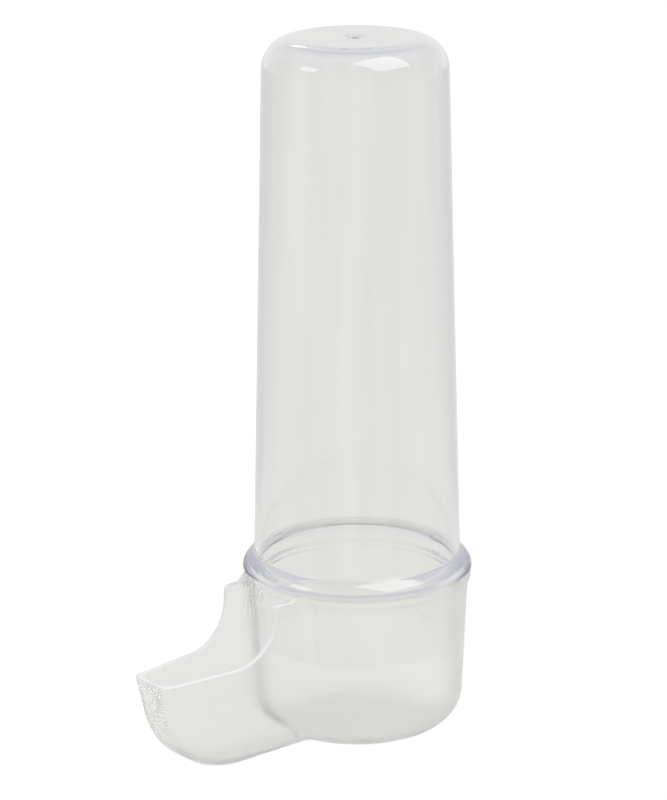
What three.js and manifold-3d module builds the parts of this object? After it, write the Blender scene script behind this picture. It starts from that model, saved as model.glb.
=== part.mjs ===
// A gravity drinker for cage birds. A clear reservoir tube plugs, open end down, into a drinking base:
// a round cup that is open on one side into a scoop-shaped trough. Water stands in the trough at the
// height of the tube's mouth, just below the trough's lip.
//
// Millimetres, +Z up. The origin is on the tube's axis, on the plane that the cup stands on, and the
// trough points along -Y. "Reach" is a distance from the tube's axis along the trough.
import * as THREE from "three";
import { mergeVertices, toCreasedNormals } from "three/addons/utils/BufferGeometryUtils.js";
import Module from "manifold-3d";

const degrees = THREE.MathUtils.degToRad;

// Fit between the two pieces
const FIT_CLEARANCE = 0.3; // between the tube's plug and the cup's bore, on the radius
const SEAT_GAP = 0.3; // between the cup's rim and the flange that sits on it

// Reservoir tube
const TUBE_HEIGHT = 114.3; // flange underside to the closed top
const TUBE_ROOT_RADIUS = 22.1; // outside, at the flange's top
const TUBE_TOP_RADIUS = 19.4; // outside, where the wall's line meets the top's plane
const TUBE_WALL = 1.2;
const CEILING = 1.4; // thickness of the closed top
const SHOULDER_RADIUS = 6.6;
const DIMPLE_RADIUS = 2.8; // shallow recess round the gate mark
const DIMPLE_DEPTH = 0.3;
const GATE_RADIUS = 0.7;
const GATE_HEIGHT = 0.25; // above the dimple's floor
const FLANGE_HEIGHT = 3.2;
const FLANGE_EDGE = 0.2; // upright edge under the flange's dome
const FLANGE_FULLNESS = 0.38; // of the dome: 0 is a straight slope, 1 reaches for the square corner
const PLUG_STEP = 0.1; // the plug that fits the cup's bore is this much smaller than the root, on the radius
const PLUG_LENGTH = 3.0;
const SKIRT_LENGTH = 16.5; // flange underside to the mouth
const SKIRT_STEP = 0.5; // and the skirt this much smaller than the plug
const SKIRT_DRAFT = degrees(3.4);
const SKIRT_WALL = 1.2;
const LEDGE_DEPTH = 2.0; // the bore's ledge lies this far below the flange's underside
const LEDGE_RISE = 0.7;

// Cup
const CUP_HEIGHT = 35.4;
const CUP_WALL = 1.6;
const CUP_DRAFT = degrees(2.6);
const CUP_FLOOR = 1.5;
const FOOT_RADIUS = 8.2; // round corner between the wall and the floor
const BAND_PROUD = 0.7; // the rim band stands out this far from the wall
const BAND_HEIGHT = 3.2;

// Trough
const TROUGH_WALL = 1.2;
const TROUGH_LENGTH = 32.4; // from the cup's wall to the lip's front edge
const LIP_WIDTH = 11.0; // outside width of the walls at the lip
const EAR_WIDTH = 17.8; // outside width of the walls at the ears' front edge
const EAR_LENGTH = 5.7; // from the cup's wall to that edge
const EAR_DROP = 0.7; // the ears end this far below the cup's rim
const EAR_CORNER = 1.3;
const EAR_SETBACK = 0.5; // the ears begin this far past the ends of the rim band
const NECK_FILLET = 5.0; // outside, between the cup and each wall, at the rim
const NECK_FOOT_FILLET = 1.0; // and at the foot
const FREEBOARD = 2.5; // the lip's height above the tube's mouth
const RIM_FALL = degrees(2); // the trough's rim falls towards the lip
const SCOOP_RADIUS = 10; // the rim's rise to the ears
const NECK_ROUNDING = 9.5; // round edges along the trough's bottom, where it leaves the cup
const BELLY_ROUNDING = 4.9; // and further out
const BELLY_LENGTH = 16.1; // at this distance from the cup's wall
const NOSE_RADIUS = 17; // the trough's front rises from the bottom on this radius
const NOSE_LEAN = degrees(12.5); // and then leans out to the lip
const NOSE_CORNER = 5.3; // upright corners of the nose, near the bottom
const LIP_CORNER = 2.0; // and at the lip
const ROUNDING_LIMIT = 0.95; // share of a half width that a round edge or corner may take

// Steps along curves
const HALF_TURN_STEPS = 36;
const CORNER_STEPS = 6;
const FOOT_STEPS = 9;
const BAND_END = CORNER_STEPS + 1; // place of the rim band's end in a ring, after the nose's points

// Modelling tolerances
const CUT_MARGIN = 5; // how far cutting bodies run past what they cut
const WELD_DISTANCE = 1e-4; // points closer than this are one point
const CREASE_ANGLE = degrees(35); // edges sharper than this stay sharp in shading

// Heights and radii that follow
const SEAT_Z = CUP_HEIGHT + SEAT_GAP;
const TOP_Z = SEAT_Z + TUBE_HEIGHT;
const MOUTH_Z = SEAT_Z - SKIRT_LENGTH;
const LIP_Z = MOUTH_Z + FREEBOARD;
const EAR_Z = CUP_HEIGHT - EAR_DROP;
const PLUG_RADIUS = TUBE_ROOT_RADIUS - PLUG_STEP;
const CUP_RADIUS = PLUG_RADIUS + FIT_CLEARANCE + CUP_WALL; // outside, at the rim
const FLANGE_RADIUS = CUP_RADIUS + BAND_PROUD; // flush with the rim band
const EAR_REACH = CUP_RADIUS + EAR_LENGTH;
const BELLY_REACH = CUP_RADIUS + BELLY_LENGTH;
const TROUGH_REACH = CUP_RADIUS + TROUGH_LENGTH;
const TROUGH_TAPER = (EAR_WIDTH - LIP_WIDTH) / 2 / (TROUGH_REACH - EAR_REACH); // half width lost per reach

const wasm = await Module();
wasm.setup();

// A closed geometry as a solid for joining and cutting.
function solid(geometry) {
  const bare = geometry.clone();
  bare.deleteAttribute("normal");
  bare.deleteAttribute("uv");
  const welded = mergeVertices(bare, WELD_DISTANCE);
  const corners = Array.from(welded.index.array);
  const triangles = [];
  for (let k = 0; k < corners.length; k += 3) {
    const [a, b, c] = corners.slice(k, k + 3);
    if (a !== b && b !== c && c !== a) triangles.push(a, b, c);
  }
  const mesh = new wasm.Mesh({
    numProp: 3,
    vertProperties: new Float32Array(welded.attributes.position.array),
    triVerts: new Uint32Array(triangles),
  });
  return new wasm.Manifold(mesh);
}

function geometryOf(body) {
  const { vertProperties, triVerts } = body.getMesh();
  const geometry = new THREE.BufferGeometry();
  geometry.setAttribute("position", new THREE.BufferAttribute(vertProperties, 3));
  geometry.setIndex(new THREE.BufferAttribute(triVerts, 1));
  return geometry;
}

// Points on an arc from one angle to another, both ends included.
function arc(x, y, radius, from, to, steps = CORNER_STEPS) {
  const clockwise = to < from;
  return new THREE.EllipseCurve(x, y, radius, radius, from, to, clockwise).getPoints(steps);
}

// The tube's profile in radius and height. Its wall leans in by the same draft inside and outside.
function tubeProfile() {
  const flangeTop = SEAT_Z + FLANGE_HEIGHT;
  const draft = Math.atan((TUBE_ROOT_RADIUS - TUBE_TOP_RADIUS) / (TOP_Z - flangeTop));
  const wallRadius = (z, inset) =>
    TUBE_ROOT_RADIUS - (z - flangeTop) * Math.tan(draft) - inset / Math.cos(draft);

  const shoulder = (radius, top, inset) => {
    const z = top - radius;
    const x = wallRadius(z, inset) - radius / Math.cos(draft);
    return arc(x, z, radius, draft, Math.PI / 2);
  };

  const plugLow = SEAT_Z - PLUG_LENGTH;
  const skirtRadius = (z) => PLUG_RADIUS - SKIRT_STEP - (plugLow - z) * Math.tan(SKIRT_DRAFT);

  const ledgeZ = SEAT_Z - LEDGE_DEPTH;
  const ledgeTop = ledgeZ + LEDGE_RISE;
  const point = (radius, z) => new THREE.Vector2(radius, z);

  const rim = point(FLANGE_RADIUS, SEAT_Z + FLANGE_EDGE);
  const root = point(TUBE_ROOT_RADIUS, flangeTop);
  const middle = rim.clone().lerp(root, 0.5);
  const corner = point(FLANGE_RADIUS, flangeTop);
  const dome = new THREE.QuadraticBezierCurve(rim, middle.lerp(corner, FLANGE_FULLNESS), root);

  const outside = [
    point(skirtRadius(MOUTH_Z), MOUTH_Z),
    point(skirtRadius(plugLow - SKIRT_STEP), plugLow - SKIRT_STEP),
    point(PLUG_RADIUS, plugLow),
    point(PLUG_RADIUS, SEAT_Z),
    point(FLANGE_RADIUS, SEAT_Z),
    ...dome.getPoints(CORNER_STEPS),
    ...shoulder(SHOULDER_RADIUS, TOP_Z, 0),
    point(DIMPLE_RADIUS, TOP_Z),
    point(DIMPLE_RADIUS - DIMPLE_DEPTH, TOP_Z - DIMPLE_DEPTH),
    point(GATE_RADIUS, TOP_Z - DIMPLE_DEPTH),
    point(GATE_RADIUS, TOP_Z - DIMPLE_DEPTH + GATE_HEIGHT),
    point(0, TOP_Z - DIMPLE_DEPTH + GATE_HEIGHT),
  ];
  const inside = [
    point(skirtRadius(MOUTH_Z) - SKIRT_WALL, MOUTH_Z),
    point(skirtRadius(ledgeZ) - SKIRT_WALL, ledgeZ),
    point(wallRadius(ledgeTop, TUBE_WALL), ledgeTop),
    ...shoulder(SHOULDER_RADIUS - TUBE_WALL, TOP_Z - CEILING, TUBE_WALL),
    point(0, TOP_Z - CEILING),
  ];
  return [...inside.reverse(), ...outside];
}

function reservoirTube() {
  const geometry = new THREE.LatheGeometry(tubeProfile(), 2 * HALF_TURN_STEPS);
  geometry.rotateX(Math.PI / 2);
  return geometryOf(solid(geometry));
}

// How far a round edge draws in at a height above its bottom.
function drawIn(height, radius) {
  const left = 1 - Math.min(height / radius, 1);
  return radius * (1 - Math.sqrt(1 - left * left));
}

// The trough's front at a height above its bottom: an arc from the bottom, then a leaning line to the lip.
function noseReach(height, lipReach, lipHeight, radius) {
  const lean = Math.tan(NOSE_LEAN);
  const centre = lipReach + (Math.sin(NOSE_LEAN) * (radius - lipHeight) - radius) / Math.cos(NOSE_LEAN);
  const tangent = radius * (1 - Math.sin(NOSE_LEAN));
  if (height >= tangent) return lipReach - (lipHeight - height) * lean;
  return centre + Math.sqrt(radius * radius - (radius - height) ** 2);
}

// A side wall of the trough in plan, at a height above its bottom: the half width at each reach. The
// round edges along the bottom draw it in, more where the trough leaves the cup than further out.
function wallLine(height, inset, cupRadius, neckRounding, bellyRounding) {
  const upright = (reach) => EAR_WIDTH / 2 + (EAR_REACH - reach) * TROUGH_TAPER - inset;
  const rounded = (reach, radius) => {
    const half = upright(reach);
    return half - drawIn(height, Math.min(radius, ROUNDING_LIMIT * half));
  };
  const start = rounded(cupRadius, neckRounding);
  const taper = (start - rounded(BELLY_REACH, bellyRounding)) / (BELLY_REACH - cupRadius);
  return { taper, halfAt: (reach) => start - (reach - cupRadius) * taper };
}

// The base's plan at one height, from the nose round the right side and back: the tapered trough and the
// cup's circle, blended by a fillet on each side. Grow widens the cup and the fillets for the rim band,
// which steps back to the wall where each fillet ends.
function planRing({ cupRadius, wall, fillet, reach, corner, grow }) {
  const side = new THREE.Vector2(1, -wall.taper).normalize(); // square to the +X wall, pointing out
  const along = new THREE.Vector2(-side.y, side.x); // along that wall, towards the cup
  const offset = side.x * wall.halfAt(0); // from the axis to the wall

  const widestCorner = (side.x * wall.halfAt(reach)) / (1 + side.y); // touches the plan's middle line
  const noseRadius = Math.min(corner, ROUNDING_LIMIT * widestCorner);
  const noseY = noseRadius - reach;
  const noseX = (offset - noseRadius - side.y * noseY) / side.x;
  const wallAngle = Math.atan2(side.y, side.x);
  const nose = arc(noseX, noseY, noseRadius, -Math.PI / 2, wallAngle);

  const out = offset + fillet;
  const back = -Math.sqrt((cupRadius + fillet) ** 2 - out * out);
  const centre = side.clone().multiplyScalar(out).addScaledVector(along, back);
  const cupAngle = Math.atan2(centre.y, centre.x);
  const blend = (radius) => arc(centre.x, centre.y, radius, wallAngle + Math.PI, cupAngle + Math.PI);
  const [bandEnd] = blend(fillet);
  const neck = blend(fillet - grow);
  const cup = arc(0, 0, cupRadius + grow, cupAngle, Math.PI / 2, HALF_TURN_STEPS).slice(1);

  const right = [...nose, bandEnd, ...neck, ...cup];
  const left = right.slice(0, -1).reverse().map((p) => new THREE.Vector2(-p.x, p.y));
  return [...right, ...left];
}

// Values that change steadily from the foot to the rim, and from the bottom to the lip.
const neckFillet = (z) => THREE.MathUtils.lerp(NECK_FOOT_FILLET, NECK_FILLET, z / CUP_HEIGHT);
const noseCorner = (z) => THREE.MathUtils.lerp(NOSE_CORNER, LIP_CORNER, Math.min(z / LIP_Z, 1));

// The cup's outside or inside radius at height z, above a foot of the given radius that starts at bottom.
function cupRadiusAt(z, inset, bottom, foot) {
  const upright = Math.max(z, FOOT_RADIUS);
  return CUP_RADIUS - inset - (CUP_HEIGHT - upright) * Math.tan(CUP_DRAFT) - drawIn(z - bottom, foot);
}

function outsidePlan(z, grow = 0) {
  const cupRadius = cupRadiusAt(z, 0, 0, FOOT_RADIUS);
  return planRing({
    cupRadius,
    wall: wallLine(z, 0, cupRadius, NECK_ROUNDING, BELLY_ROUNDING),
    fillet: neckFillet(z),
    reach: noseReach(z, TROUGH_REACH, LIP_Z, NOSE_RADIUS),
    corner: noseCorner(z),
    grow,
  });
}

// The same plan for the hollow, one wall further in and one floor higher.
function insidePlan(z) {
  const height = z - CUP_FLOOR;
  const wall = TROUGH_WALL * Math.hypot(1, TROUGH_TAPER);
  const cupRadius = cupRadiusAt(z, CUP_WALL, CUP_FLOOR, FOOT_RADIUS - CUP_FLOOR);
  const lipReach = TROUGH_REACH - TROUGH_WALL / Math.cos(NOSE_LEAN);
  return planRing({
    cupRadius,
    wall: wallLine(height, wall, cupRadius, NECK_ROUNDING - CUP_FLOOR, BELLY_ROUNDING - CUP_FLOOR),
    fillet: neckFillet(z) + TROUGH_WALL,
    reach: noseReach(height, lipReach, LIP_Z - CUP_FLOOR, NOSE_RADIUS - CUP_FLOOR),
    corner: noseCorner(z),
    grow: 0,
  });
}

// Skins a stack of rings of equal length, from the lowest to the highest, into a closed body.
function skin(levels) {
  const count = levels[0].ring.length;
  const position = levels.flatMap(({ ring, z }) => ring.flatMap((p) => [p.x, p.y, z]));
  const index = [];
  for (let low = 0; low < (levels.length - 1) * count; low += count) {
    for (let k = 0; k < count; k += 1) {
      const a = low + k;
      const b = low + ((k + 1) % count);
      index.push(a, b, b + count, a, b + count, a + count);
    }
  }
  const topStart = (levels.length - 1) * count;
  for (const [a, b, c] of THREE.ShapeUtils.triangulateShape(levels[0].ring, [])) index.push(a, c, b);
  for (const [a, b, c] of THREE.ShapeUtils.triangulateShape(levels.at(-1).ring, [])) {
    index.push(topStart + a, topStart + b, topStart + c);
  }
  const geometry = new THREE.BufferGeometry();
  geometry.setAttribute("position", new THREE.Float32BufferAttribute(position, 3));
  geometry.setIndex(index);
  return solid(geometry);
}

// Heights that follow the round edges closely near the bottom.
function footHeights(bottom) {
  const round = Math.max(FOOT_RADIUS, NECK_ROUNDING, BELLY_ROUNDING, NOSE_RADIUS);
  return Array.from({ length: FOOT_STEPS + 1 }, (_, k) => {
    const turn = (k / FOOT_STEPS) * (Math.PI / 2);
    return bottom + (round - bottom) * (1 - Math.cos(turn));
  });
}

// Levels of the band round the cup's rim and the neck: rounded below, level with the rim above.
function bandLevels() {
  return Array.from({ length: CORNER_STEPS + 1 }, (_, k) => {
    const turn = (k / CORNER_STEPS) * (Math.PI / 2);
    const z = CUP_HEIGHT - BAND_HEIGHT * Math.cos(turn);
    return { z, ring: outsidePlan(z, BAND_PROUD * Math.sin(turn)) };
  });
}

// What is cut away above the trough: flat over the ears, a scoop in front of them, then along the rim.
function aboveTrough() {
  const rimZ = (reach) => LIP_Z + (TROUGH_REACH - reach) * Math.tan(RIM_FALL);
  const earStart = EAR_SETBACK - outsidePlan(CUP_HEIGHT)[BAND_END].y;
  const cornerZ = EAR_Z - EAR_CORNER;
  const scoop = Math.min(SCOOP_RADIUS, cornerZ - rimZ(EAR_REACH));
  const centreReach = EAR_REACH + scoop;
  const centreZ = rimZ(centreReach) + scoop / Math.cos(RIM_FALL);
  const past = TROUGH_REACH + CUT_MARGIN;
  const above = CUP_HEIGHT + CUT_MARGIN;
  const outline = [
    new THREE.Vector2(earStart, above),
    new THREE.Vector2(earStart, EAR_Z),
    ...arc(EAR_REACH - EAR_CORNER, cornerZ, EAR_CORNER, Math.PI / 2, 0),
    ...arc(centreReach, centreZ, scoop, Math.PI, 1.5 * Math.PI - RIM_FALL, 2 * CORNER_STEPS),
    new THREE.Vector2(past, rimZ(past)),
    new THREE.Vector2(past, above),
  ];
  const depth = EAR_WIDTH + 2 * CUT_MARGIN;
  const geometry = new THREE.ExtrudeGeometry(new THREE.Shape(outline), { depth, bevelEnabled: false });
  geometry.translate(0, 0, -depth / 2);
  const reachAxis = new THREE.Vector3(0, -1, 0);
  const upAxis = new THREE.Vector3(0, 0, 1);
  const acrossAxis = new THREE.Vector3(-1, 0, 0);
  geometry.applyMatrix4(new THREE.Matrix4().makeBasis(reachAxis, upAxis, acrossAxis));
  return solid(geometry);
}

function drinkingBase() {
  const wallLevels = footHeights(0).map((z) => ({ z, ring: outsidePlan(z) }));
  const hollowHeights = [...footHeights(CUP_FLOOR), CUP_HEIGHT + CUT_MARGIN];
  const hollow = hollowHeights.map((z) => ({ z, ring: insidePlan(z) }));
  const body = skin([...wallLevels, ...bandLevels()]).subtract(skin(hollow)).subtract(aboveTrough());
  return geometryOf(body);
}

const clearStyrene = new THREE.MeshStandardMaterial({
  color: 0xe8ecf2,
  roughness: 0.06,
  metalness: 0,
  transparent: true,
  opacity: 0.35,
});
const milkyPropylene = new THREE.MeshStandardMaterial({
  color: 0xe4e5e0,
  roughness: 0.35,
  metalness: 0,
  transparent: true,
  opacity: 0.75,
});

function piece(name, geometry, material) {
  const mesh = new THREE.Mesh(toCreasedNormals(geometry, CREASE_ANGLE), material);
  mesh.name = name;
  return mesh;
}

const drinker = new THREE.Group();
drinker.add(piece("drinking_base", drinkingBase(), milkyPropylene));
drinker.add(piece("reservoir_tube", reservoirTube(), clearStyrene));

export default drinker;
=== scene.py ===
"""A drinker for cage birds: a clear reservoir tube, mouth down in a milky cup with a drinking trough.

Metres, +Z up. The origin is on the tube's axis, on the plane that the cup stands on, and the trough
points along -Y. "Reach" is a distance from the tube's axis along the trough.
"""
import math

import bmesh
import bpy
import numpy as np
from mathutils import Matrix, Vector


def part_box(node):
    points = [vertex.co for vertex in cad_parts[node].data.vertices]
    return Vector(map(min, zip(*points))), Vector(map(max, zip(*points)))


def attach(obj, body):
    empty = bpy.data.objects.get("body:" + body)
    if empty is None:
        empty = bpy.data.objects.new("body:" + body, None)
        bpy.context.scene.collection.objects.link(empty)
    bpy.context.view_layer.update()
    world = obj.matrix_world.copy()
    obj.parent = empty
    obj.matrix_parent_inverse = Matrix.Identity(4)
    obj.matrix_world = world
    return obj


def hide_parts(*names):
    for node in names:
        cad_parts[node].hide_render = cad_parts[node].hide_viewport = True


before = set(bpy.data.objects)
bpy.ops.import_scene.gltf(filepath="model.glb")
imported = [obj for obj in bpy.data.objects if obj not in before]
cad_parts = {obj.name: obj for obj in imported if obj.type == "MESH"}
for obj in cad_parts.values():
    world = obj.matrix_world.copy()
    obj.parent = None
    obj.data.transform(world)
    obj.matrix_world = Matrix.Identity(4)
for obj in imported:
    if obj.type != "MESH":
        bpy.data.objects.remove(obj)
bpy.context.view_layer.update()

tube_low, tube_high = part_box("reservoir_tube")
base_low, base_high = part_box("drinking_base")

# Heights and radii taken from the frame
MOUTH_Z = tube_low.z
TOP_Z = tube_high.z
FLANGE_RADIUS = tube_high.x
RIM_Z = base_high.z
TROUGH_REACH = -base_low.y

# Fit between the two pieces
FIT_CLEARANCE = 0.0003  # between the tube's plug and the cup's bore, on the radius
SEAT_GAP = 0.0003  # between the cup's rim and the flange that sits on it
SEAT_Z = RIM_Z + SEAT_GAP

# Reservoir tube
ROOT_RADIUS = 0.0221  # outside, at the flange's top
TOP_RADIUS = 0.0194  # outside, where the wall's line meets the top's plane
TUBE_WALL = 0.0012
CEILING = 0.0014
SHOULDER_RADIUS = 0.0066
DIMPLE_RADIUS = 0.0028
DIMPLE_DEPTH = 0.0003
DIMPLE_SLOPE = 0.0013  # width of the slope down into the dimple
GATE_RADIUS = 0.0007
GATE_HEIGHT = 0.00025
FLANGE_HEIGHT = 0.0032
FLANGE_EDGE = 0.0002
FLANGE_FULLNESS = 0.38  # of the dome: 0 is a straight slope, 1 reaches for the square corner
DOME_ROUNDING = 0.9  # share of the dome's shorter side that its round takes
PLUG_STEP = 0.0001
PLUG_RADIUS = ROOT_RADIUS - PLUG_STEP
PLUG_LENGTH = 0.003
SKIRT_STEP = 0.0005
SKIRT_DRAFT = math.radians(3.4)
SKIRT_WALL = 0.0012
LEDGE_DEPTH = 0.002
LEDGE_RISE = 0.0007

# Cup
CUP_WALL = 0.0016
CUP_RADIUS = PLUG_RADIUS + FIT_CLEARANCE + CUP_WALL
CUP_DRAFT = math.radians(2.6)
CUP_FLOOR = 0.0015
FOOT_RADIUS = 0.0082
BAND_PROUD = FLANGE_RADIUS - CUP_RADIUS
BAND_HEIGHT = 0.0032
BAND_FADE = 0.25  # share of a neck fillet over which the band fades out

# Trough
TROUGH_WALL = 0.0012
LIP_WIDTH = 0.011
EAR_WIDTH = 0.0178
EAR_LENGTH = 0.0057  # from the cup's wall
EAR_REACH = CUP_RADIUS + EAR_LENGTH
EAR_DROP = 0.0007  # the ears end this far below the cup's rim
EAR_Z = RIM_Z - EAR_DROP
EAR_CORNER = 0.0013
EAR_SETBACK = 0.0005  # the ears begin this far past the ends of the rim band
NECK_FILLET = 0.005
NECK_FOOT_FILLET = 0.001
FREEBOARD = 0.0025  # the lip's height above the tube's mouth
LIP_Z = MOUTH_Z + FREEBOARD
RIM_FALL = math.radians(2)
SCOOP_RADIUS = 0.01
NECK_ROUNDING = 0.0095
BELLY_ROUNDING = 0.0049
BELLY_LENGTH = 0.0161  # from the cup's wall
BELLY_REACH = CUP_RADIUS + BELLY_LENGTH
NOSE_RADIUS = 0.017
NOSE_LEAN = math.radians(12.5)
NOSE_CORNER = 0.0053
LIP_CORNER = 0.002
ROUNDING_LIMIT = 0.95  # share of a half width that a round edge or corner may take
TROUGH_TAPER = (EAR_WIDTH - LIP_WIDTH) / 2 / (TROUGH_REACH - EAR_REACH)

# Fineness of the meshes
TURN_STEPS = 192
MERGE_DISTANCE = 1e-7
RIM_MARK = "trough_rim"  # marks the trough's rim in the base's mesh
RIM_PAINTED_LIGHT = 0.85  # share of the rim's surface given a pale frosted finish: painted light standing in for the light that leaves the rim


class Shade:
    """An output socket in a material. Arithmetic on it adds Math nodes."""

    def __init__(self, tree, socket):
        self.tree = tree
        self.socket = socket

    def node(self, kind, inputs=None, output=0, **settings):
        """Adds a node, with its settings first and then its inputs, and returns one of its outputs."""
        added = self.tree.nodes.new("ShaderNode" + kind)
        for name, value in settings.items():
            setattr(added, name, value)
        for name, value in (inputs or {}).items():
            if isinstance(value, Shade):
                self.tree.links.new(value.socket, added.inputs[name])
            else:
                added.inputs[name].default_value = value
        return Shade(self.tree, added.outputs[output])

    def math(self, operation, first, second):
        return self.node("Math", {0: first, 1: second}, operation=operation)

    def __add__(self, other):
        return self.math("ADD", self, other)

    def __sub__(self, other):
        return self.math("SUBTRACT", self, other)

    def __rsub__(self, other):
        return self.math("SUBTRACT", other, self)

    def __mul__(self, other):
        return self.math("MULTIPLY", self, other)

    __radd__ = __add__
    __rmul__ = __mul__

    def ramp(self, low, high):
        """Goes from 0 to 1 as this value goes from low to high, and stays there beyond them."""
        return self.node("MapRange", {"Value": self, "From Min": low, "From Max": high}, output="Result")

    def along(self, direction):
        """How far this place lies along a direction."""
        return self.node("VectorMath", {0: self, 1: direction}, output="Value", operation="DOT_PRODUCT")

    def between(self, first, second):
        """A colour that goes from the first to the second as this value goes from 0 to 1."""
        inputs = {"Factor": self, "A": first, "B": second}
        for name in "AB":
            if not isinstance(inputs[name], Shade):
                inputs[name] = (*inputs[name], 1)
        return self.node("Mix", inputs, output="Result", data_type="RGBA")


def new_material(name):
    """A material with its Principled shader and its Object coordinates."""
    material = bpy.data.materials.new(name)
    material.use_nodes = True
    tree = material.node_tree
    shader = tree.nodes["Principled BSDF"]
    coordinates = tree.nodes.new("ShaderNodeTexCoord")
    return material, shader, Shade(tree, coordinates.outputs["Object"])


def feed(shader, **sockets):
    """Sets or links sockets of a shader; underscores in a name stand for spaces."""
    for name, value in sockets.items():
        socket = shader.inputs[name.replace("_", " ")]
        if isinstance(value, Shade):
            value.tree.links.new(value.socket, socket)
        else:
            socket.default_value = value


def noise(place, scale, detail=2.0, stretch=(1, 1, 1)):
    """Soft noise on a piece, in cells per metre, drawn out along the axes where stretch is small."""
    mapped = place.node("Mapping", {"Vector": place, "Scale": stretch})
    return mapped.node("TexNoise", {"Vector": mapped, "Scale": scale, "Detail": detail}, output="Fac")


def absorb(material, colour, density):
    """Lets the inside of a clear moulding take up a little light, per metre that the light runs in it."""
    tree = material.node_tree
    absorption = tree.nodes.new("ShaderNodeVolumeAbsorption")
    absorption.inputs["Color"].default_value = (*colour, 1)
    absorption.inputs["Density"].default_value = density
    tree.links.new(absorption.outputs["Volume"], tree.nodes["Material Output"].inputs["Volume"])


def clear_styrene():
    """Polished clear moulding, with faint flow lines down its length and a few dull smears."""
    material, shader, place = new_material("clear_styrene")
    waves = noise(place, 300, detail=3, stretch=(1, 1, 0.05))
    flow_lines = waves.ramp(0.3, 0.7)
    smears = noise(place, 90, detail=4)
    surface = waves.node("Bump", {"Height": waves, "Strength": 0.05, "Distance": 0.0004})
    feed(
        shader,
        Base_Color=flow_lines.between((0.945, 0.95, 0.945), (0.995, 0.995, 0.99)),
        Roughness=0.015 + 0.03 * smears,
        Normal=surface,
        IOR=1.59,
        Transmission_Weight=1.0,
    )
    absorb(material, (0.6, 0.6, 0.8), 6)
    return material


def milky_propylene():
    """Translucent moulding, hazier in some places than in others, with faint upright draw lines.

    The index is lower than the plastic's own, and a share of the light goes straight through. Haze inside
    the real walls keeps their edges pale, and clear walls of the full index would draw dark lines there.
    The trough's rim gets a pale frosted finish as painted light, standing in for the light that runs along
    inside the walls and comes out of it.
    """
    material, shader, place = new_material("milky_propylene")
    draw_lines = noise(place, 420, stretch=(1, 1, 0.06))
    haze = noise(place, 70, detail=3)
    feed(
        shader,
        Base_Color=haze.between((0.99, 0.994, 0.98), (1.0, 1.0, 0.995)),
        Roughness=0.12 + 0.1 * haze + 0.06 * draw_lines,
        IOR=1.13,
        Transmission_Weight=1.0,
        Alpha=0.75,
    )
    tree = material.node_tree
    walls = Shade(tree, shader.outputs["BSDF"])
    # Painted light: a pale diffuse finish on the trough's rim stands in for the light that runs inside the
    # walls and leaves the rim
    painted_rim_light = place.node("BsdfPrincipled", {"Base Color": (0.9, 0.905, 0.89, 1), "Roughness": 0.4})
    rim = place.node("Attribute", output="Fac", attribute_name=RIM_MARK)
    surface = rim.node("MixShader", {0: RIM_PAINTED_LIGHT * rim, 1: walls, 2: painted_rim_light})
    tree.links.new(surface.socket, tree.nodes["Material Output"].inputs["Surface"])
    return material


def finished(bm, name, material, body, node):
    """Makes a piece of the shape in bm, smooth all over, in the place of a CAD node."""
    bmesh.ops.remove_doubles(bm, verts=bm.verts, dist=MERGE_DISTANCE)
    bmesh.ops.recalc_face_normals(bm, faces=bm.faces)
    for face in bm.faces:
        face.smooth = True
    mesh = bpy.data.meshes.new(name)
    bm.to_mesh(mesh)
    bm.free()
    mesh.materials.append(material)
    piece = bpy.data.objects.new(name, mesh)
    bpy.context.collection.objects.link(piece)
    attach(piece, body)
    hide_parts(node)
    return piece


# Reservoir tube

WALL_DRAFT = math.atan((ROOT_RADIUS - TOP_RADIUS) / (TOP_Z - SEAT_Z - FLANGE_HEIGHT))
FINE_EDGE = 0.0001
SOFT_EDGE = 0.0003
LOOSE_EDGE = 0.0005
HOLD_LENGTH = 0.0004  # a straight stretch gets a point this far from each end
LONG_EDGE = 3 * HOLD_LENGTH
ROUND_STEPS = 5
SHOULDER_STEPS = 14


def tube_wall_radius(z, inset=0.0):
    rise = z - SEAT_Z - FLANGE_HEIGHT
    return ROOT_RADIUS - rise * math.tan(WALL_DRAFT) - inset / math.cos(WALL_DRAFT)


def skirt_radius(z):
    return PLUG_RADIUS - SKIRT_STEP - (SEAT_Z - PLUG_LENGTH - z) * math.tan(SKIRT_DRAFT)


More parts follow.
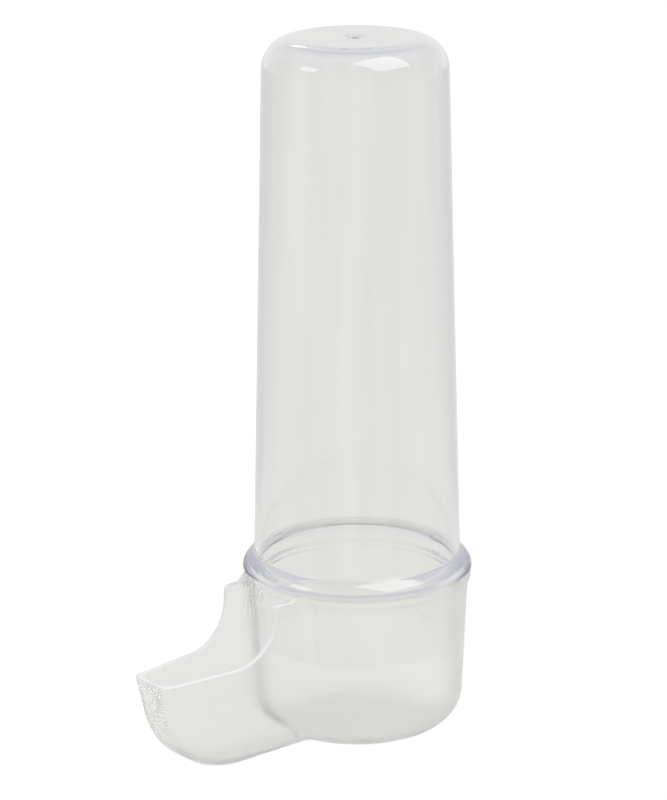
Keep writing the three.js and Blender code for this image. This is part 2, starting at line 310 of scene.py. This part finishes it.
def tube_profile():
    """Corners of the tube's profile from its top to its ceiling: radius, height, rounding and its steps."""
    flange_top = SEAT_Z + FLANGE_HEIGHT
    rim = Vector((FLANGE_RADIUS, SEAT_Z + FLANGE_EDGE))
    root = Vector((ROOT_RADIUS, flange_top))
    dome = rim.lerp(root, 0.5).lerp(Vector((FLANGE_RADIUS, flange_top)), FLANGE_FULLNESS)
    dome_round = DOME_ROUNDING * min((dome - rim).length, (dome - root).length)
    shoulder = 1 / math.tan(math.pi / 4 + WALL_DRAFT / 2)
    dimple_z = TOP_Z - DIMPLE_DEPTH
    gate_z = dimple_z + GATE_HEIGHT
    plug_z = SEAT_Z - PLUG_LENGTH
    skirt_z = plug_z - SKIRT_STEP
    ledge_z = SEAT_Z - LEDGE_DEPTH
    ledge_top = ledge_z + LEDGE_RISE
    ceiling_z = TOP_Z - CEILING
    inner_shoulder = SHOULDER_RADIUS - TUBE_WALL
    return [
        (0, gate_z, 0, 0),
        (GATE_RADIUS, gate_z, FINE_EDGE, ROUND_STEPS),
        (GATE_RADIUS, dimple_z, FINE_EDGE, ROUND_STEPS),
        (DIMPLE_RADIUS - DIMPLE_SLOPE, dimple_z, LOOSE_EDGE, ROUND_STEPS),
        (DIMPLE_RADIUS, TOP_Z, LOOSE_EDGE, ROUND_STEPS),
        (TOP_RADIUS, TOP_Z, SHOULDER_RADIUS * shoulder, SHOULDER_STEPS),
        (*root, SOFT_EDGE, ROUND_STEPS),
        (*dome, dome_round, SHOULDER_STEPS),
        (*rim, FINE_EDGE, ROUND_STEPS),
        (FLANGE_RADIUS, SEAT_Z, FINE_EDGE, ROUND_STEPS),
        (PLUG_RADIUS, SEAT_Z, FINE_EDGE, ROUND_STEPS),
        (PLUG_RADIUS, plug_z, FINE_EDGE, ROUND_STEPS),
        (skirt_radius(skirt_z), skirt_z, SOFT_EDGE, ROUND_STEPS),
        (skirt_radius(MOUTH_Z), MOUTH_Z, SOFT_EDGE, ROUND_STEPS),
        (skirt_radius(MOUTH_Z) - SKIRT_WALL, MOUTH_Z, SOFT_EDGE, ROUND_STEPS),
        (skirt_radius(ledge_z) - SKIRT_WALL, ledge_z, SOFT_EDGE, ROUND_STEPS),
        (tube_wall_radius(ledge_top, TUBE_WALL), ledge_top, SOFT_EDGE, ROUND_STEPS),
        (tube_wall_radius(ceiling_z, TUBE_WALL), ceiling_z, inner_shoulder * shoulder, SHOULDER_STEPS),
        (0, ceiling_z, 0, 0),
    ]


def hold_straight_edges(bm):
    """Puts a point near each end of a long edge, so that smooth shading bends only in the round corners."""
    for edge in list(bm.edges):
        if edge.calc_length() > LONG_EDGE:
            for vert in list(edge.verts):
                bmesh.utils.edge_split(edge, vert, HOLD_LENGTH / edge.calc_length())


def reservoir_tube():
    """The tube: its profile, rounded at the corners and turned about the axis."""
    bm = bmesh.new()
    corners = []
    for radius, z, rounding, steps in tube_profile():
        vert = bm.verts.new((radius, 0, z))
        if corners:
            bm.edges.new((corners[-1][0], vert))
        corners.append((vert, rounding, steps))
    for vert, rounding, steps in corners:
        if steps:
            bmesh.ops.bevel(
                bm,
                geom=[vert],
                offset=rounding,
                offset_type="OFFSET",
                affect="VERTICES",
                segments=steps,
                profile=0.5,
                material=-1,
            )
    hold_straight_edges(bm)
    profile = [*bm.verts, *bm.edges]
    bmesh.ops.spin(
        bm,
        geom=profile,
        cent=(0, 0, 0),
        axis=(0, 0, 1),
        angle=2 * math.pi,
        steps=TURN_STEPS,
        use_merge=True,
    )
    return finished(bm, "clear_tube", clear_styrene(), "tube", "reservoir_tube")


# Drinking base

FRONT, CORNER, SIDE, NECK, CUP = range(5)  # stretches of the plan, from the nose to the cup's back
NOSE_COLUMNS = 6
CORNER_COLUMNS = 18
STEP_COLUMNS = 6
EAR_COLUMNS = 6
EAR_CORNER_COLUMNS = 8
SCOOP_COLUMNS = 24
LIP_COLUMNS = 14
NECK_COLUMNS = 10
CUP_COLUMNS = 72
EDGE_ROWS = 4
BAND_ROWS = 8
WALL_ROWS = 28
FLOOR_ROWS = 3
FLOOR_SPINE = 0.9  # length of the middle line that the floor's rows close on, as a share of the foot's
RIM_EDGE = 0.0003  # round edges of the rim
RIM_DEPTH = 0.0005  # the wall's rows begin this far below the rim
BAND_HOLD = 1.05  # the row that holds the band's lower edge, in band heights
RELAX_ROUNDS = 800


class Skin:
    """The outer or the inner surface of the base, as a plan at each height."""

    def __init__(self, inside):
        self.inside = inside
        self.floor = CUP_FLOOR if inside else 0.0

    def cup_radius(self, z):
        upright = max(z, FOOT_RADIUS)
        inset = CUP_WALL if self.inside else 0.0
        lean = (RIM_Z - upright) * math.tan(CUP_DRAFT)
        return CUP_RADIUS - inset - lean - draw_in(z - self.floor, FOOT_RADIUS - self.floor)

    def wall_line(self, height, cup_radius):
        """The half width to which a side wall's line runs on at the axis, and what it loses per reach."""
        inset = TROUGH_WALL * math.hypot(1, TROUGH_TAPER) if self.inside else 0.0

        def rounded(reach, radius):
            half = EAR_WIDTH / 2 + (EAR_REACH - reach) * TROUGH_TAPER - inset
            return half - draw_in(height, min(radius - self.floor, ROUNDING_LIMIT * half))

        start = rounded(cup_radius, NECK_ROUNDING)
        taper = (start - rounded(BELLY_REACH, BELLY_ROUNDING)) / (BELLY_REACH - cup_radius)
        return start + cup_radius * taper, taper

    def nose_reach(self, height):
        """The trough's front: an arc from the bottom, then a leaning line to the lip."""
        radius = NOSE_RADIUS - self.floor
        lip_height = LIP_Z - self.floor
        lip_reach = TROUGH_REACH - (TROUGH_WALL / math.cos(NOSE_LEAN) if self.inside else 0.0)
        if height >= radius * (1 - math.sin(NOSE_LEAN)):
            return lip_reach - (lip_height - height) * math.tan(NOSE_LEAN)
        shift = (math.sin(NOSE_LEAN) * (radius - lip_height) - radius) / math.cos(NOSE_LEAN)
        return lip_reach + shift + math.sqrt(radius**2 - (radius - height) ** 2)

    def plan(self, z, grow=0.0):
        """The right half of the plan at a height: for each stretch, a function of a share from 0 to 1."""
        height = max(z - self.floor, 0.0)
        cup_radius = self.cup_radius(z)
        half, taper = self.wall_line(height, cup_radius)
        reach = self.nose_reach(height)
        fillet = NECK_FOOT_FILLET + (NECK_FILLET - NECK_FOOT_FILLET) * z / RIM_Z
        fillet += TROUGH_WALL if self.inside else 0.0
        corner = NOSE_CORNER + (LIP_CORNER - NOSE_CORNER) * min(z / LIP_Z, 1)

        side = Vector((1, -taper)).normalized()  # square to the wall, pointing out
        along = Vector((-side.y, side.x))
        offset = side.x * half
        widest = side.x * (half - reach * taper) / (1 + side.y)
        nose_radius = min(corner, ROUNDING_LIMIT * widest)
        nose_y = nose_radius - reach
        nose = Vector(((offset - nose_radius - side.y * nose_y) / side.x, nose_y))
        wall_angle = math.atan2(side.y, side.x)
        out = offset + fillet
        neck = side * out - along * math.sqrt((cup_radius + fillet) ** 2 - out**2)
        cup_angle = math.atan2(neck.y, neck.x)
        return [
            straight(Vector((0, -reach)), Vector((nose.x, -reach))),
            turning(nose, nose_radius, -math.pi / 2, wall_angle),
            straight(nose + nose_radius * side, neck - fillet * side),
            turning(neck, fillet - grow, wall_angle + math.pi, cup_angle + math.pi),
            turning(Vector((0, 0)), cup_radius + grow, cup_angle, math.pi / 2),
        ]


OUTER = Skin(inside=False)
INNER = Skin(inside=True)


def draw_in(height, radius):
    """How far a round edge draws in at a height above its bottom."""
    left = 1 - min(max(height, 0.0) / radius, 1)
    return radius * (1 - math.sqrt(1 - left * left))


def straight(start, end):
    return lambda share: start.lerp(end, share)


def turning(centre, radius, first, last):
    def place(share):
        angle = first + (last - first) * share
        return centre + radius * Vector((math.cos(angle), math.sin(angle)))

    return place


def smooth_step(share):
    share = min(max(share, 0.0), 1.0)
    return share * share * (3 - 2 * share)


def shares(steps):
    """Even shares from 0 to 1, both included."""
    return [k / steps for k in range(steps + 1)]


class Column:
    """A line up the base's wall that ends at a point of the rim."""

    def __init__(self, stretch, share, rim_z=RIM_Z, reach=None, outward=(0, 1)):
        self.stretch = stretch
        self.share = share  # of its stretch, and on a side wall of the foot alone
        self.rim_z = rim_z
        self.reach = reach  # of the rim's point, on a side wall
        self.outward = Vector(outward).normalized()  # square to the rim there, in reach and height

    def band(self, z):
        """How far the rim band stands out at a height on this column."""
        depth = (RIM_Z - z) / BAND_HEIGHT
        if self.stretch < NECK or depth >= 1:
            return 0.0
        fade = smooth_step(self.share / BAND_FADE) if self.stretch == NECK else 1.0
        return BAND_PROUD * fade * math.sqrt(1 - max(depth, 0.0) ** 2)

    def spot(self, skin, depth):
        """Share of the stretch and height, at a small depth below the rim."""
        z = self.rim_z - depth * self.outward.y
        if self.stretch != SIDE:
            return self.share, z
        wall = skin.plan(z)[SIDE]
        nose_y, neck_y = wall(0).y, wall(1).y
        return (depth * self.outward.x - self.reach - nose_y) / (neck_y - nose_y), z

    def place(self, skin, share, z):
        """The point of a skin at a share of this column's stretch and a height."""
        grow = 0.0 if skin.inside else self.band(z)
        x, y = skin.plan(z, grow)[self.stretch](share)
        return Vector((x, y, z))


def lip_line(reach):
    """Height of the trough's rim, which falls towards the lip."""
    return LIP_Z + (TROUGH_REACH - reach) * math.tan(RIM_FALL)


def side_rim():
    """The rim along a side wall, from the neck to the nose: reach, height and what is square to it."""
    step_start = EAR_SETBACK - OUTER.plan(RIM_Z)[SIDE](1).y - EAR_DROP / 2
    corner_start = EAR_REACH - EAR_CORNER
    corner_z = EAR_Z - EAR_CORNER
    scoop_reach = EAR_REACH + SCOOP_RADIUS
    scoop_z = lip_line(scoop_reach) + SCOOP_RADIUS / math.cos(RIM_FALL)
    rim = []
    for share in shares(STEP_COLUMNS):
        rim.append((step_start + EAR_DROP * share, RIM_Z - EAR_DROP * smooth_step(share), (0, 1)))
    ear_start = rim[-1][0]
    for share in shares(EAR_COLUMNS)[1:-1]:
        rim.append((ear_start + (corner_start - ear_start) * share, EAR_Z, (0, 1)))
    for share in shares(EAR_CORNER_COLUMNS):
        out, up = math.sin(share * math.pi / 2), math.cos(share * math.pi / 2)
        rim.append((corner_start + EAR_CORNER * out, corner_z + EAR_CORNER * up, (out, up)))
    for share in shares(SCOOP_COLUMNS):
        turn = share * (math.pi / 2 - RIM_FALL)
        out, up = math.cos(turn), math.sin(turn)
        rim.append((scoop_reach - SCOOP_RADIUS * out, scoop_z - SCOOP_RADIUS * up, (out, up)))
    scoop_end = rim[-1][0]
    nose_end = -INNER.plan(LIP_Z)[SIDE](0).y
    for share in shares(LIP_COLUMNS)[1:-1]:
        reach = scoop_end + (nose_end - scoop_end) * share
        rim.append((reach, lip_line(reach), (0, 1)))
    return rim


def side_columns():
    """Columns on the side wall, from the nose to the neck, spread over the foot as they are on the rim."""
    rim = side_rim()
    ends = [Vector((reach, z)) for reach, z, _ in rim]
    steps = [(b - a).length for a, b in zip(ends, ends[1:])]
    margin = sum(steps) / len(steps)
    whole = sum(steps) + 2 * margin
    columns = []
    for k, (reach, z, outward) in enumerate(rim):
        foot_share = 1 - (margin + sum(steps[:k])) / whole
        columns.append(Column(SIDE, foot_share, z, reach, outward))
    return columns[::-1]


def base_columns():
    """Columns round the right half of the base, from the middle of the nose to the back of the cup."""
    columns = []
    for stretch, steps in ((FRONT, NOSE_COLUMNS), (CORNER, CORNER_COLUMNS)):
        for share in shares(steps)[stretch - FRONT:]:
            reach = -OUTER.plan(LIP_Z)[stretch](share).y
            columns.append(Column(stretch, share, lip_line(reach)))
    columns += side_columns()
    for stretch, steps in ((NECK, NECK_COLUMNS), (CUP, CUP_COLUMNS)):
        columns += [Column(stretch, share) for share in shares(steps)[stretch - NECK:]]
    return columns


def row_heights(skin, rim_z):
    """Heights of a wall's rows above its floor, from just below the rim down.

    Below the band they lie at even steps of their square root, which crowds them towards the floor as
    its round edge needs.
    """
    top = RIM_Z - skin.floor
    band = [top - BAND_HEIGHT * math.sin(share * math.pi / 2) for share in shares(BAND_ROWS)[1:]]
    hold = top - BAND_HEIGHT * BAND_HOLD
    wall = [hold * share * share for share in shares(WALL_ROWS)[::-1]]
    scale = (rim_z - skin.floor - RIM_DEPTH) / (top - RIM_DEPTH)
    return [height * scale for height in [top - RIM_DEPTH, *band, *wall]]


def wall_spots(skin, columns):
    """For each column, the share of its stretch and the root of the height above the floor, row by row."""
    spots = []
    for column in columns:
        roots = [math.sqrt(height) for height in row_heights(skin, column.rim_z)]
        spots.append([(column.share, root) for root in roots])
    side = [k for k, column in enumerate(columns) if column.stretch == SIDE]
    first, last = side[0], side[-1]
    grid = np.array(spots[first - 1 : last + 2])
    grid[0, :, 0] = 0
    grid[-1, :, 0] = 1
    for column, line in zip(columns[first : last + 1], grid[1:-1]):
        share, z = column.spot(skin, RIM_DEPTH)
        line[:] = np.linspace((share, math.sqrt(z - skin.floor)), (column.share, 0), len(line))
    for _ in range(RELAX_ROUNDS):
        around = grid[:-2, 1:-1] + grid[2:, 1:-1] + grid[1:-1, :-2] + grid[1:-1, 2:]
        grid[1:-1, 1:-1] = around / 4
    spots[first : last + 1] = grid[1:-1].tolist()
    return spots


def skin_lines(skin, columns):
    """For each column the points of one skin, from the flat of the rim down to the floor's middle line."""
    other = INNER if skin is OUTER else OUTER
    lines = []
    for column, spots in zip(columns, wall_spots(skin, columns)):
        line = []
        for share in shares(EDGE_ROWS):
            depth = RIM_EDGE * (1 - math.cos(share * math.pi / 2))
            inset = RIM_EDGE * (1 - math.sin(share * math.pi / 2))
            place = column.place(skin, *column.spot(skin, depth))
            across = column.place(other, *column.spot(other, depth)) - place
            across.z = 0
            line.append(place + inset * across.normalized())
        for share, root in spots:
            line.append(column.place(skin, share, skin.floor + root * root))
        foot = line[-1]
        spine = Vector((0, foot.y * FLOOR_SPINE, foot.z))
        line += [spine.lerp(foot, share) for share in shares(FLOOR_ROWS)[-2::-1]]
        lines.append(line)
    return lines


def drinking_base():
    """The base: a sheet drawn over its right half, outside and inside, and mirrored."""
    columns = base_columns()
    outside, inside = skin_lines(OUTER, columns), skin_lines(INNER, columns)
    lines = [[*out[::-1], *back] for out, back in zip(outside, inside)]
    across, along = len(lines) - 1, len(lines[0]) - 1
    bm = bmesh.new()
    bmesh.ops.create_grid(bm, x_segments=across, y_segments=along, size=1)
    # marks the trough's rim, where the material paints a pale frosted finish as painted light
    rim = bm.verts.layers.float.new(RIM_MARK)
    rim_row = len(outside[0]) - 0.5
    for vert in bm.verts:
        column = round((vert.co.x + 1) / 2 * across)
        row = round((vert.co.y + 1) / 2 * along)
        on_trough = columns[column].stretch < NECK
        vert[rim] = float(on_trough and abs(row - rim_row) < EDGE_ROWS)
        vert.co = lines[column][row]
    half = [*bm.verts, *bm.edges, *bm.faces]
    bmesh.ops.mirror(bm, geom=half, matrix=Matrix.Identity(4), merge_dist=MERGE_DISTANCE, axis="X")
    return finished(bm, "milky_base", milky_propylene(), "base", "drinking_base")


# Studio

FLOOR_RADIUS = 4.0
FLOOR_Z = -0.0002
CAMERA_AZIMUTH = math.radians(50.64)
CAMERA_ELEVATION = math.radians(16.047)
CAMERA_ROLL = math.radians(-0.323)
CAMERA_DISTANCE = 0.75617
CAMERA_TARGET_Z = 0.071976
CAMERA_SHIFT_RIGHT = -0.004895
FRAME_HEIGHT = 800
FOCAL_PIXELS = 3561.4
SENSOR_SIZE = 36.0
RIGHT = Vector((math.cos(CAMERA_AZIMUTH), math.sin(CAMERA_AZIMUTH), 0))  # level, as the camera sees it
AWAY = Vector((-math.sin(CAMERA_AZIMUTH), math.cos(CAMERA_AZIMUTH), 0))  # level, from the camera
STRIP_WIDTH = 0.07  # of the floor's pale strip where it begins, behind the drinker
FLOOR_TO_EYE = (0.97, 0.97, 0.955)
FLOOR_THROUGH_WALLS = (0.715, 0.722, 0.697)
FLOOR_SIDES = (0.59, 0.595, 0.59)
ROOM_LOW = (0.76, 0.765, 0.745)
ROOM_HIGH = (0.61, 0.61, 0.69)
WALL_BOUNCES = 512
BRIGHTEST_BOUNCE = 16.0


def pale_floor():
    """A wide, glowing table top: white to the eye, and pale grey to light that goes through the drinker.

    That keeps clear walls from vanishing in front of it. To such light it is also a shade darker on both
    sides of a strip that widens behind the drinker, which draws the tube's edges.
    """
    bm = bmesh.new()
    bmesh.ops.create_circle(bm, cap_ends=True, segments=96, radius=FLOOR_RADIUS)
    bmesh.ops.translate(bm, verts=bm.verts, vec=(0, 0, FLOOR_Z))
    mesh = bpy.data.meshes.new("floor")
    bm.to_mesh(mesh)
    bm.free()
    material, shader, place = new_material("floor_white")
    mottle = noise(place, 3)
    in_view = place.node("LightPath", output="Is Camera Ray")
    walls_passed = place.node("LightPath", output="Transparent Depth")
    seen = in_view * walls_passed.ramp(0.6, 0.4)  # 0 from the first wall on
    behind = place.along(AWAY)
    aside = place.along(RIGHT)
    outside_strip = aside.node("Math", {0: aside}, operation="ABSOLUTE") - STRIP_WIDTH / 2
    widening = outside_strip.math("DIVIDE", outside_strip, behind)
    sides = widening.ramp(0.15, 0.4) * behind.ramp(0.1, 0.16)
    grey = sides.between(FLOOR_THROUGH_WALLS, FLOOR_SIDES)
    feed(
        shader,
        Base_Color=mottle.between((0.05, 0.05, 0.05), (0.06, 0.06, 0.06)),
        Roughness=0.9,
        Emission_Color=seen.between(grey, FLOOR_TO_EYE),
        Emission_Strength=1.0,
    )
    mesh.materials.append(material)
    floor = bpy.data.objects.new("floor", mesh)
    bpy.context.collection.objects.link(floor)


def studio_light():
    """A pale room that dims towards its ceiling and glows a little behind the drinker, and soft boxes.

    The boxes show in what the drinker mirrors, but not through its walls.
    """
    world = bpy.data.worlds.new("studio")
    world.use_nodes = True
    tree = world.node_tree
    background = tree.nodes["Background"]
    direction = Shade(tree, tree.nodes.new("ShaderNodeTexCoord").outputs["Generated"])
    height = direction.along((0, 0, 1))
    glow = height.ramp(0.45, 0.2) * direction.along(AWAY).ramp(0.2, 0.7)
    feed(
        background,
        Color=height.ramp(0.1, 0.75).between(ROOM_LOW, ROOM_HIGH),
        Strength=1.0 + 0.1 * glow,
    )
    bpy.context.scene.world = world
    for name, direction, distance, size, size_y, power in (
        ("overhead_box", (0.48, 0.16, 0.90), 1.2, 0.9, 0.9, 7.0),
        ("left_box", (-0.75, 0.37, 0.55), 1.2, 0.12, 0.12, 0.12),
        ("front_box", (-0.22, -0.78, 0.58), 1.4, 0.5, 0.3, 1.2),
    ):
        light = bpy.data.lights.new(name, "AREA")
        light.shape = "RECTANGLE"
        light.size = size
        light.size_y = size_y
        light.energy = power
        lamp = bpy.data.objects.new(name, light)
        away = Vector(direction).normalized()
        lamp.location = away * distance + Vector((0, 0, CAMERA_TARGET_Z))
        lamp.rotation_mode = "QUATERNION"
        lamp.rotation_quaternion = away.to_track_quat("Z", "Y")
        lamp.visible_transmission = False
        bpy.context.collection.objects.link(lamp)


def photo_camera():
    """A long lens, a little above the drinker and to the right of its trough."""
    back = Vector((0, 0, math.sin(CAMERA_ELEVATION))) - AWAY * math.cos(CAMERA_ELEVATION)
    up = back.cross(RIGHT)
    place = Vector((0, 0, CAMERA_TARGET_Z)) + RIGHT * CAMERA_SHIFT_RIGHT + back * CAMERA_DISTANCE
    rolled_right = math.cos(CAMERA_ROLL) * RIGHT + math.sin(CAMERA_ROLL) * up
    rolled_up = math.cos(CAMERA_ROLL) * up - math.sin(CAMERA_ROLL) * RIGHT
    data = bpy.data.cameras.new("camera")
    data.sensor_width = SENSOR_SIZE
    data.lens = FOCAL_PIXELS / FRAME_HEIGHT * SENSOR_SIZE
    data.clip_start = 0.01
    camera = bpy.data.objects.new("camera", data)
    axes = Matrix((rolled_right, rolled_up, back)).transposed().to_4x4()
    camera.matrix_world = Matrix.Translation(place) @ axes
    bpy.context.collection.objects.link(camera)
    bpy.context.scene.camera = camera


def light_paths():
    """Enough bounces for light that runs along inside clear walls, and plain, uncompressed whites.

    The picture is smoothed by its colours alone, because what lies behind hazy walls leaves false marks.
    """
    scene = bpy.context.scene
    scene.view_settings.view_transform = "Standard"
    scene.cycles.max_bounces = WALL_BOUNCES
    scene.cycles.transmission_bounces = WALL_BOUNCES
    scene.cycles.glossy_bounces = WALL_BOUNCES
    scene.cycles.sample_clamp_indirect = BRIGHTEST_BOUNCE
    scene.cycles.denoising_input_passes = "RGB"


reservoir_tube()
drinking_base()
pale_floor()
studio_light()
photo_camera()
light_paths()
